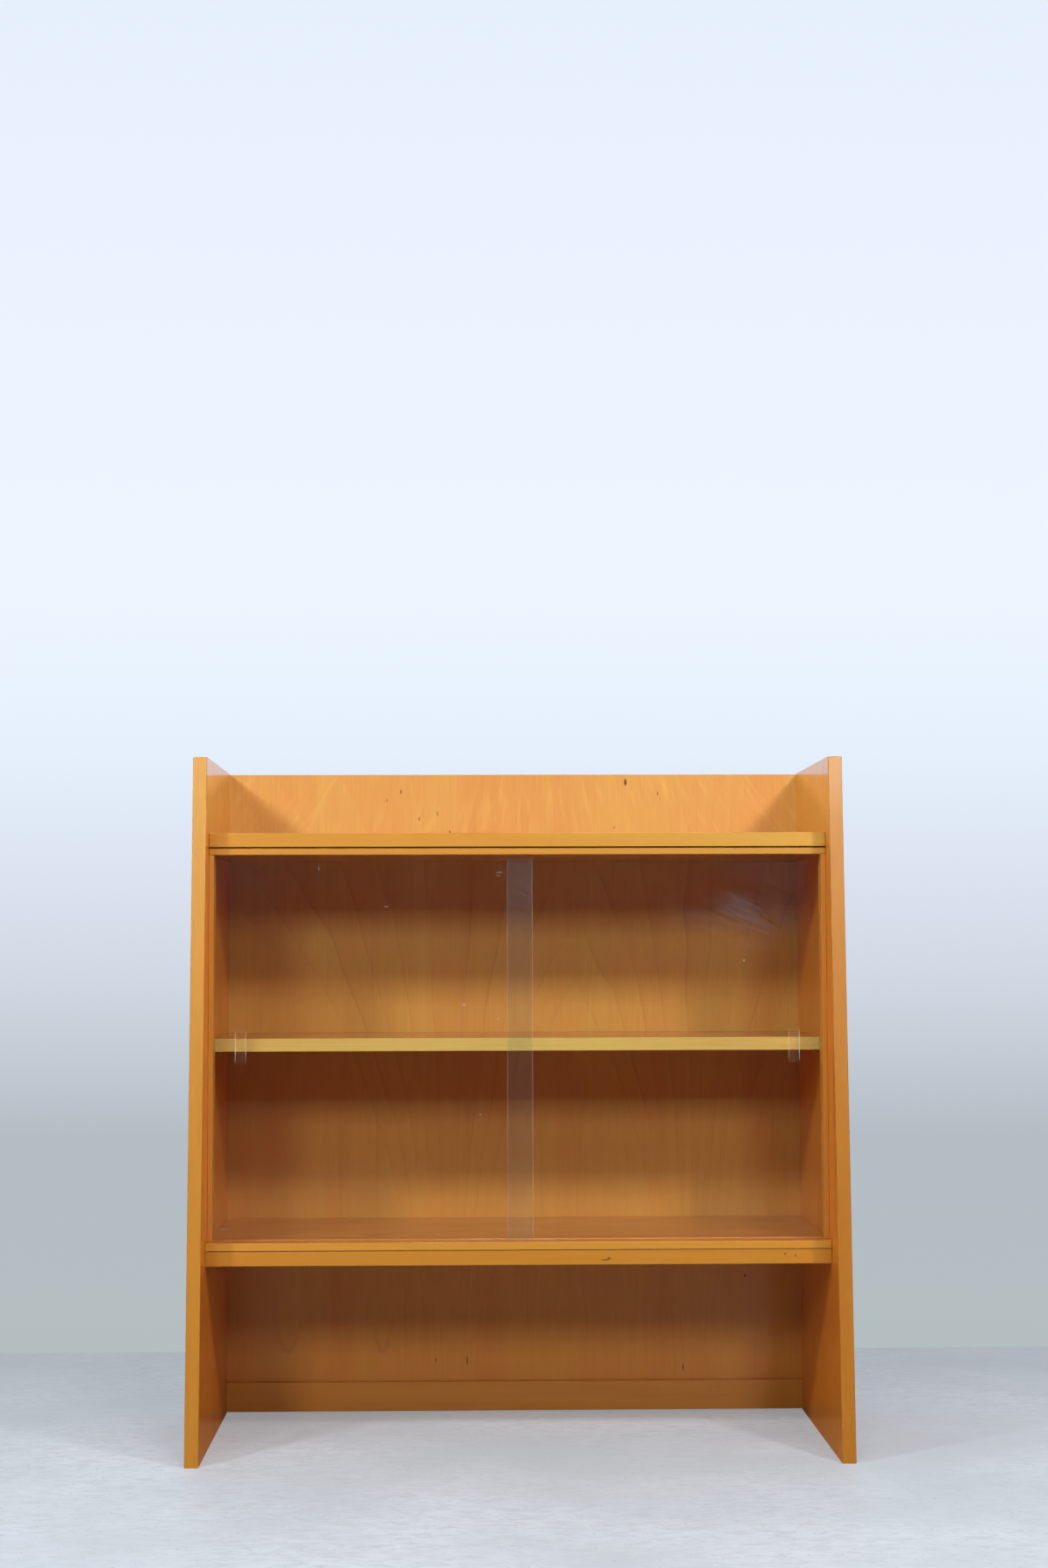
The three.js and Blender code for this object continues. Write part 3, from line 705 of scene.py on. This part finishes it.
def flame_figure(graph, place):
    """Soft pale strokes, upright below and closing in towards the middle near the top."""
    x, _, z = graph.split(place)
    closing = graph.math("MAXIMUM", measured(graph, z, FLAME_START, FLAME_RISE), 0)
    closing = graph.math("ADD", closing, 1)
    across = graph.math("MULTIPLY", graph.math("SUBTRACT", x, FLAME_MIDDLE), closing)
    across = graph.math("DIVIDE", across, FLAME_WIDTH)
    up = graph.math("DIVIDE", z, FLAME_LENGTH)
    strokes = graph.noise(graph.join(across, 0.0, up), FLAME_DETAIL, FLAME_DISTORTION)
    patches = pattern(graph, place, "Z", **FLAME_PATCHES)
    stroke = graph.remap(strokes, *FLAME_LEVELS)
    stroke = graph.math("MULTIPLY", stroke, graph.remap(patches, *FLAME_PATCH_LEVELS))
    return graph.math("MULTIPLY", stroke, graph.remap(z, *RING_TOP, *FLAME_SHARES))


def vein_lines(graph, place):
    """Long thin dark lines along the grain."""
    veins = pattern(graph, place, "Z", **VEINS)
    return graph.remap(veins, *VEIN_LEVELS, 0, VEIN_SHARE)


def arc_lines(graph, place):
    """Dark arcs that open upwards, fading with their height above the tip."""
    x, _, z = graph.split(place)
    shares = []
    for tip_x, tip_z, steepness in ARCS:
        off_x = measured(graph, x, tip_x * MM, MM)
        off_z = measured(graph, z, tip_z * MM, MM)
        curve = graph.math("MULTIPLY", squared(graph, off_x), steepness)
        slope = graph.math("MULTIPLY", graph.math("ABSOLUTE", off_x), 2 * steepness)
        slope = graph.math("ADD", slope, 1)
        gap = graph.math("ABSOLUTE", graph.math("SUBTRACT", off_z, curve))
        gap = graph.math("DIVIDE", gap, slope)
        line = graph.remap(gap, ARC_HALF_WIDTH, 0, 0, RING_SHARE)
        shares.append(graph.math("MULTIPLY", line, graph.remap(off_z, ARC_HEIGHT, 0)))
    return strongest(graph, shares)


def add_back_figure(graph, place, colour, band_tone):
    """Lays the flames, bands, rings, arcs and veins of the back sheet over its colour."""
    colour = graph.mix(flame_figure(graph, place), colour, tone(FLAME_TONE))
    line, band = ring_figure(graph, place)
    colour = graph.mix(band, colour, tone(band_tone))
    for share in (line, arc_lines(graph, place), vein_lines(graph, place)):
        colour = graph.mix(share, colour, tone(LINE_TONE))
    return colour


def paint_foot_light(graph, place, colour, foot_light_tone):
    """Painted light: multiplies the colour by a tone for the dimmer, warmer light at the foot, which sets in
    from the top downwards.
    """
    low = graph.remap(graph.split(place)["Z"], FADE_TOP, FADE_FOOT)
    foot = graph.mix(low, tone(WHITE), tone(foot_light_tone))
    return graph.mix(1.0, colour, foot, "MULTIPLY")


def bleach_along(graph, place, colour, axis, start, end, share, rgb):
    """Takes the colour over to another tone along an axis, up to a share of it."""
    bleached = graph.remap(graph.split(place)[axis], start, end, 0, share)
    return graph.mix(bleached, colour, tone(rgb))


def tint_top(graph, colour, rgb):
    """Multiplies the colour of faces that look upwards by a tint."""
    upward = graph.math("GREATER_THAN", normal_part(graph, "Z"), FACING_SHARE)
    return graph.mix(upward, colour, tone(rgb), "MULTIPLY")


def add_marks(graph, place, colour, axes, ovals, rgb):
    """Lays small dark ovals over the colour."""
    return graph.mix(oval_marks(graph, place, axes, ovals), colour, tone(rgb))


def ply_edge(graph, place):
    """Light and dark plies across the thickness of the back panel."""
    ply = graph.math("PINGPONG", graph.split(place)["Y"], PLY_THICKNESS)
    dark = graph.remap(ply, *PLY_CHANGE)
    light_tone, dark_tone = PLY_TONES
    return graph.mix(dark, tone(light_tone), tone(dark_tone))


def add_raw_faces(graph, place, colour):
    """Plies on the upper and lower edges of the back panel, and bare wood on its rear face."""
    colour = graph.mix(facing(graph, "Z"), colour, ply_edge(graph, place))
    rear = graph.math("GREATER_THAN", normal_part(graph, "Y"), FACING_SHARE)
    return graph.mix(graph.math("MULTIPLY", rear, RAW_BACK_SHARE), colour, tone(RAW_BACK_TONE))


def lacquer_over(graph, place, along, colour, relief, lacquer_share, roughness):
    """Finishes a wood's colour and relief with smudged lacquer."""
    smudges = pattern(graph, place, along, **SMUDGES)
    bump = graph.node("ShaderNodeBump", {
        "Height": relief,
        "Distance": GRAIN_RELIEF,
        "Strength": GRAIN_RELIEF_SHARE,
    })
    shader = graph.node("ShaderNodeBsdfPrincipled", {
        "Base Color": colour,
        "Roughness": worn_roughness(graph, smudges, SMUDGE_LEVELS, roughness),
        "Normal": bump.outputs[0],
        "Specular IOR Level": SPECULAR_LEVEL,
        "Coat Weight": lacquer_share,
        "Coat Roughness": LACQUER_ROUGHNESS,
    })
    graph.surface(shader.outputs[0])


def wood_material(name, along, tones, move=(0, 0, 0), bleach=None, top_tint=None, marks=None,
                  lacquer_share=LACQUER_SHARE, roughness=WOOD_ROUGHNESS):
    """Lacquered wood with its grain along one axis, painted light towards its foot, and a tone shift along
    an axis, tint and marks where they are given.
    """
    material, graph = new_material(name)
    plain_place = graph.place()
    place = grain_place(graph, along, move)
    colour = wood_tone(graph, place, along, tones, STREAK_SHARE)
    dark, relief = fine_grain(graph, place, along)
    colour = graph.mix(dark, colour, tone(LINE_TONE))
    # Painted light: the wood turns dimmer and warmer towards its foot
    colour = paint_foot_light(graph, plain_place, colour, FOOT_PAINTED_LIGHT_TONE)
    if bleach:
        colour = bleach_along(graph, plain_place, colour, **bleach)
    if top_tint:
        colour = tint_top(graph, colour, top_tint)
    if marks:
        colour = add_marks(graph, plain_place, colour, **marks)
    lacquer_over(graph, plain_place, along, colour, relief, lacquer_share, roughness)
    return material


def back_sheet_material():
    """The back's sheet of veneered ply, with its hearts, flames and small knots."""
    material, graph = new_material("back_sheet")
    plain_place = graph.place()
    place = grain_place(graph, "Z", (0, 0, 0))
    colour = wood_tone(graph, place, "Z", BACK_TONES, BACK_STREAK_SHARE)
    colour = add_back_figure(graph, plain_place, colour, BACK_TONES["warm"])
    dark, relief = fine_grain(graph, place, "Z")
    colour = graph.mix(dark, colour, tone(LINE_TONE))
    # Painted light: the back sheet turns dimmer and warmer towards its foot
    colour = paint_foot_light(graph, plain_place, colour, BACK_FOOT_PAINTED_LIGHT_TONE)
    colour = add_marks(graph, plain_place, colour, **BACK_MARKS)
    colour = add_raw_faces(graph, plain_place, colour)
    lacquer_over(graph, plain_place, "Z", colour, relief, LACQUER_SHARE, WOOD_ROUGHNESS)
    return material


# Metal

def metal_material(name, rgb, roughness):
    """Metal with fine marks of wear, darker and duller where it is worn."""
    material, graph = new_material(name)
    wear = pattern(graph, graph.place(), "Y", **METAL_WEAR)
    worn_rgb = [value * WORN_TONE_SHARE for value in rgb]
    shader = graph.node("ShaderNodeBsdfPrincipled", {
        "Base Color": graph.mix(graph.remap(wear, *WEAR_TONE_LEVELS), tone(rgb), tone(worn_rgb)),
        "Metallic": 1.0,
        "Roughness": worn_roughness(graph, wear, WEAR_LEVELS, roughness),
    })
    graph.surface(shader.outputs[0])
    return material


# Glass

def left_of(graph, x, z, start, end, soft):
    """1 well to the left of a line and 0 to its right, with a soft step between."""
    run, climb = end[0] - start[0], end[1] - start[1]
    length = math.hypot(run, climb)
    across = graph.math("MULTIPLY", graph.math("SUBTRACT", x, start[0] * MM), -climb / length)
    up = graph.math("MULTIPLY", graph.math("SUBTRACT", z, start[1] * MM), run / length)
    return graph.remap(graph.math("ADD", across, up), 0, soft * MM)


def wiping_streaks(graph, x, z):
    """Fine streaks that fall away to the right, as a cloth leaves them."""
    down = graph.math("MULTIPLY_ADD", x, WIPE_LEAN, z)
    along = graph.math("MULTIPLY_ADD", z, -WIPE_LEAN, x)
    down = graph.math("DIVIDE", down, WIPE_WIDTH)
    along = graph.math("DIVIDE", along, WIPE_LENGTH)
    return graph.noise(graph.join(along, 0.0, down), WIPE_DETAIL, WIPE_DISTORTION)


def wedge_share(graph, x, z, share, edges):
    """The share of one patch, where all of its edges have it on their left."""
    inside = share
    for start, end, soft in edges:
        inside = graph.math("MULTIPLY", left_of(graph, x, z, start, end, soft), inside)
    return inside


def wipes_and_reflection_share(graph, place):
    """Wiped patches, the painted reflection at the top of the overlap, and round smears, broken up by fine
    streaks.
    """
    x, _, z = graph.split(place)
    hazes = 0.0
    for wedge in WEDGES:
        hazes = graph.math("ADD", wedge_share(graph, x, z, **wedge), hazes)
    for *oval, share in SMEARS:
        smear = oval_marks(graph, place, "XZ", [oval], SMEAR_CORE_SHARE)
        hazes = graph.math("ADD", graph.math("MULTIPLY", smear, share), hazes)
    streaks = wiping_streaks(graph, x, z)
    streaked = graph.remap(streaks, *WIPE_LEVELS, 1 - WIPE_SPREAD_SHARE, 1 + WIPE_SPREAD_SHARE)
    return graph.math("MULTIPLY", hazes, streaked)


def overlap_reflection_share(graph, place):
    """Painted reflection: the film's extra share in the strip where the closed panes overlap."""
    x = graph.split(place)["X"]
    low, high = OVERLAP_X
    inside = graph.math("MULTIPLY", graph.math("GREATER_THAN", x, low), graph.math("LESS_THAN", x, high))
    return graph.math("MULTIPLY", inside, OVERLAP_REFLECTION_SHARE)


def film_share(graph, place):
    """How much of a pane's outer face dust, wiping and scratches cover, with painted reflection where the
    closed panes overlap.
    """
    clouds = pattern(graph, place, "X", **FILM_CLOUDS)
    total = graph.remap(clouds, *FILM_CLOUD_LEVELS, *FILM_SHARES)
    total = graph.math("ADD", total, overlap_reflection_share(graph, place))
    total = graph.math("ADD", total, wipes_and_reflection_share(graph, place))
    scratches = graph.math("MULTIPLY", oval_marks(graph, place, "XZ", SCRATCHES), SCRATCH_SHARE)
    total = graph.math("ADD", total, scratches)
    outer = graph.math("LESS_THAN", normal_part(graph, "Y"), -FACING_SHARE)
    return graph.math("MULTIPLY", total, outer)


def clear_glass_material():
    """Thin clear glass that mirrors more at a slant, with a film on its outer face."""
    material, graph = new_material("window_glass")
    clear = graph.node("ShaderNodeBsdfTransparent", {"Color": tone(GLASS_TINT)}).outputs[0]
    gloss = graph.node("ShaderNodeBsdfGlossy", {"Roughness": GLASS_ROUGHNESS}).outputs[0]
    behind = graph.node("ShaderNodeNewGeometry").outputs["Backfacing"]
    bend = graph.remap(behind, 0, 1, GLASS_IOR, 1 / GLASS_IOR)
    fresnel = graph.node("ShaderNodeFresnel", {"IOR": bend}).outputs[0]
    pane = graph.mix_shader(fresnel, clear, gloss)
    film = graph.node("ShaderNodeBsdfDiffuse", {"Color": tone(FILM_TONE)}).outputs[0]
    graph.surface(graph.mix_shader(film_share(graph, graph.place()), pane, film))
    return material


def frosted_material(name, share):
    """Ground glass: partly clear, partly a pale scattering face."""
    material, graph = new_material(name)
    grit = pattern(graph, graph.place(), "Z", **GRIT)
    clear = graph.node("ShaderNodeBsdfTransparent", {"Color": tone(GLASS_TINT)}).outputs[0]
    pale = graph.node("ShaderNodeBsdfPrincipled", {
        "Base Color": graph.mix(graph.remap(grit, *GRIT_LEVELS), tone(FROST_TONE), tone(GLASS_TINT)),
        "Roughness": FROST_ROUGHNESS,
    }).outputs[0]
    least_share, most_share = (share * grit_share for grit_share in GRIT_SHARES)
    scattering = graph.remap(grit, *GRIT_LEVELS, least_share, most_share)
    graph.surface(graph.mix_shader(scattering, clear, pale))
    return material


def pane_blank(low, high):
    """A flat box between two corners, with softened edges."""
    form = bmesh.new()
    bmesh.ops.create_cube(form, size=CUBE_SIZE)
    bmesh.ops.scale(form, vec=high - low, verts=form.verts)
    bmesh.ops.translate(form, vec=(low + high) / 2, verts=form.verts)
    bmesh.ops.bevel(
        form, geom=form.edges, offset=ARRIS, segments=ARRIS_STEPS, profile=ARRIS_ROUND_SHARE,
        affect="EDGES", material=-1,
    )
    form.normal_update()
    return form


def split_face(form, face, axis, level):
    """Cuts one face by a plane across an axis and returns its two parts, in order along the axis."""
    position = AXES.index(axis)
    normal = Vector((0, 0, 0))
    normal[position] = 1
    geometry = [face, *face.edges, *face.verts]
    cut = bmesh.ops.bisect_plane(form, geom=geometry, plane_co=normal * level, plane_no=normal)
    parts = [item for item in cut["geom"] if isinstance(item, bmesh.types.BMFace)]
    return sorted(parts, key=lambda part: part.calc_center_median()[position])


def cut_grip_strips(form, grip_x, grip_z):
    """Cuts the grip's outline into the front face and divides it into strips, one above the other."""
    face = min(form.faces, key=lambda side: side.calc_center_median().y)
    face = split_face(form, face, "X", grip_x - GRIP_WIDTH / 2)[1]
    face = split_face(form, face, "X", grip_x + GRIP_WIDTH / 2)[0]
    face = split_face(form, face, "Z", grip_z - GRIP_HEIGHT / 2)[1]
    patch = split_face(form, face, "Z", grip_z + GRIP_HEIGHT / 2)[0]
    upright = [edge for edge in patch.edges if abs(edge.verts[0].co.z - edge.verts[1].co.z) > GRIP_DEPTH]
    bmesh.ops.subdivide_edges(form, edges=upright, cuts=GRIP_STRIPS - 1, use_grid_fill=True)


def in_grip(face, grip_x, grip_z):
    """Whether a face lies within the grip's outline."""
    middle = face.calc_center_median()
    return abs(middle.x - grip_x) < GRIP_WIDTH / 2 and abs(middle.z - grip_z) < GRIP_HEIGHT / 2


def grind_grip(form, grip_x, grip_z):
    """Grinds the shallow finger hollow into the front face, deepest at its middle."""
    cut_grip_strips(form, grip_x, grip_z)
    strips = [face for face in form.faces if in_grip(face, grip_x, grip_z)]
    lifted = bmesh.ops.extrude_face_region(form, geom=strips)
    bmesh.ops.delete(form, geom=strips, context="FACES")
    bottom = [item for item in lifted["geom"] if isinstance(item, bmesh.types.BMVert)]
    for vert in bottom:
        along = (vert.co.z - grip_z) / (GRIP_HEIGHT / 2)
        depth_share = max(0, 1 - along * along)
        vert.co.y += GRIP_DEPTH * depth_share
        vert.co.x -= math.copysign(GRIP_FLARE * depth_share, vert.co.x - grip_x)
    bmesh.ops.remove_doubles(form, verts=form.verts, dist=WELD_DISTANCE)
    form.normal_update()
    bmesh.ops.recalc_face_normals(form, faces=form.faces)


def set_pane_materials(form, grip_x, grip_z):
    """The flat faces stay clear; the edges, the grip's hollow and its rim are ground."""
    for face in form.faces:
        if in_grip(face, grip_x, grip_z):
            face.material_index = RIM_INDEX if abs(face.normal.x) > RIM_TURN_SHARE else HOLLOW_INDEX
        elif abs(face.normal.y) < FLAT_SHARE:
            face.material_index = EDGE_INDEX


def add_pane(name, node, body, grip_side, materials):
    """A pane with softened edges and its ground finger grip, in place of the plain solid."""
    low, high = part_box(node)
    grip_x = grip_side * (max(abs(low.x), abs(high.x)) - GRIP_INSET)
    grip_z = (low.z + high.z) / 2
    form = pane_blank(low, high)
    grind_grip(form, grip_x, grip_z)
    set_pane_materials(form, grip_x, grip_z)
    pane = mesh_object(name, form, materials)
    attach(pane, body)
    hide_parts(node)


def add_panes():
    """Both panes. Their materials stand in the order of the indices, with the clear one first."""
    materials = [
        clear_glass_material(),
        frosted_material("glass_edge", EDGE_SHARE),
        frosted_material("ground_grip", HOLLOW_SHARE),
        frosted_material("grip_rim", RIM_SHARE),
    ]
    add_pane("front_pane", "front_glass_door", "front_door", -1, materials)
    add_pane("rear_pane", "rear_glass_door", "rear_door", 1, materials)


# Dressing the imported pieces

def soften(piece, rounding):
    """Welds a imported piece, clears the lines across its flats and rounds its edges a little."""
    weld = piece.modifiers.new("weld", "WELD")
    weld.merge_threshold = WELD_DISTANCE
    flatten = piece.modifiers.new("flatten", "DECIMATE")
    flatten.decimate_type = "DISSOLVE"
    flatten.angle_limit = FLAT_ANGLE
    bevel = piece.modifiers.new("round", "BEVEL")
    bevel.width = rounding
    bevel.segments = ROUNDING_STEPS
    bevel.limit_method = "ANGLE"
    bevel.angle_limit = EDGE_ANGLE


def dress(name, material, rounding=EDGE_ROUNDING):
    """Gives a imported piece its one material, and soft edges unless the rounding is 0."""
    piece = NODES[name]
    piece.data.materials.clear()
    piece.data.materials.append(material)
    if rounding:
        soften(piece, rounding)


def dress_matching(prefix, material, rounding):
    """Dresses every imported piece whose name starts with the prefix."""
    for name in NODES:
        if name.startswith(prefix):
            dress(name, material, rounding)


def dress_side(side, edge_tones):
    """One side panel with its front lipping and the jamb strip on it."""
    move = PATTERN_MOVES[side]
    # Painted light: the veneer turns yellower above the top shelf, where the open tray is lit
    veneer = wood_material(
        f"side_veneer_{side}", "Z", SIDE_TONES, move, bleach=SIDE_TRAY_PAINTED_LIGHT, lacquer_share=SIDE_LACQUER_SHARE
    )
    dress(f"side_panel_{side}", veneer)
    # Painted light: the front edge turns paler and yellower towards the top
    edge = wood_material(
        f"side_edge_{side}", "Z", edge_tones, move, bleach=SIDE_EDGE_PAINTED_LIGHT, lacquer_share=EDGE_LACQUER_SHARE
    )
    dress(f"side_lipping_{side}", edge)
    jamb = wood_material(f"jamb_wood_{side}", "Z", JAMB_TONES, move)
    dress(f"jamb_{side}", jamb, FINE_ROUNDING)


def dress_shelf(name, tones, edge_tones, **edge_finish):
    """One shelf and its front lipping."""
    dress(name, wood_material(f"{name}_veneer", "X", tones, PATTERN_MOVES[name]))
    lipping = f"{name}_lipping"
    move = PATTERN_MOVES[lipping]
    edge = wood_material(
        f"{name}_edge", "X", edge_tones, move, lacquer_share=EDGE_LACQUER_SHARE, **edge_finish
    )
    dress(lipping, edge)


def dress_floor_board():
    """The board with the lower grooves, tinted on top and marked by one slit."""
    move = PATTERN_MOVES["cabinet_floor"]
    wood = wood_material(
        "floor_board_wood", "X", BOARD_TONES, move, top_tint=BOARD_TOP_TINT, marks=FLOOR_BOARD_MARKS
    )
    dress("cabinet_floor", wood)


def dress_ceiling_board():
    """The board with the upper grooves, paler towards its right end."""
    move = PATTERN_MOVES["cabinet_ceiling"]
    wood = wood_material("ceiling_board_wood", "X", LIPPING_TONES, move, bleach=CEILING_RIGHT_PALING)
    dress("cabinet_ceiling", wood)


def dress_fixings():
    """Dowels, shelf pins and screws, most of them hidden in the wood."""
    beech = wood_material("beech_dowel", "X", BEECH_TONES, lacquer_share=0.0, roughness=DOWEL_ROUGHNESS)
    dress_matching("dowel_", beech, 0)
    brass = metal_material("turned_brass", BRASS_TONE, BRASS_ROUGHNESS)
    dress_matching("shelf_pin_", brass, FINE_ROUNDING)
    steel = metal_material("screw_steel", STEEL_TONE, STEEL_ROUGHNESS)
    dress_matching("back_screw_", steel, 0)


bpy.context.scene.view_settings.view_transform = "Standard"
add_camera()
add_ground()
add_backdrop()
for lamp_name, lamp in LAMPS.items():
    add_lamp(lamp_name, **lamp)
add_world()

dress_side("left", LIPPING_TONES)
dress_side("right", RIGHT_LIPPING_TONES)
dress("back_panel", back_sheet_material(), FINE_ROUNDING)
dress_shelf("top_shelf", SHELF_TONES, LIPPING_TONES, bleach=SHELF_EDGE_RIGHT_PALING)
# The lower shelf's edge carries dents and painted shade along its top joint
dress_shelf("lower_shelf", SHELF_TONES, LIPPING_TONES, marks=LOWER_EDGE_DENTS_AND_SHADE)
dress_shelf("middle_shelf", MIDDLE_SHELF_TONES, MIDDLE_LIPPING_TONES)
dress_floor_board()
dress_ceiling_board()
dress("bottom_rail", wood_material("rail_wood", "X", RAIL_TONES, PATTERN_MOVES["bottom_rail"]))
dress_fixings()
add_panes()
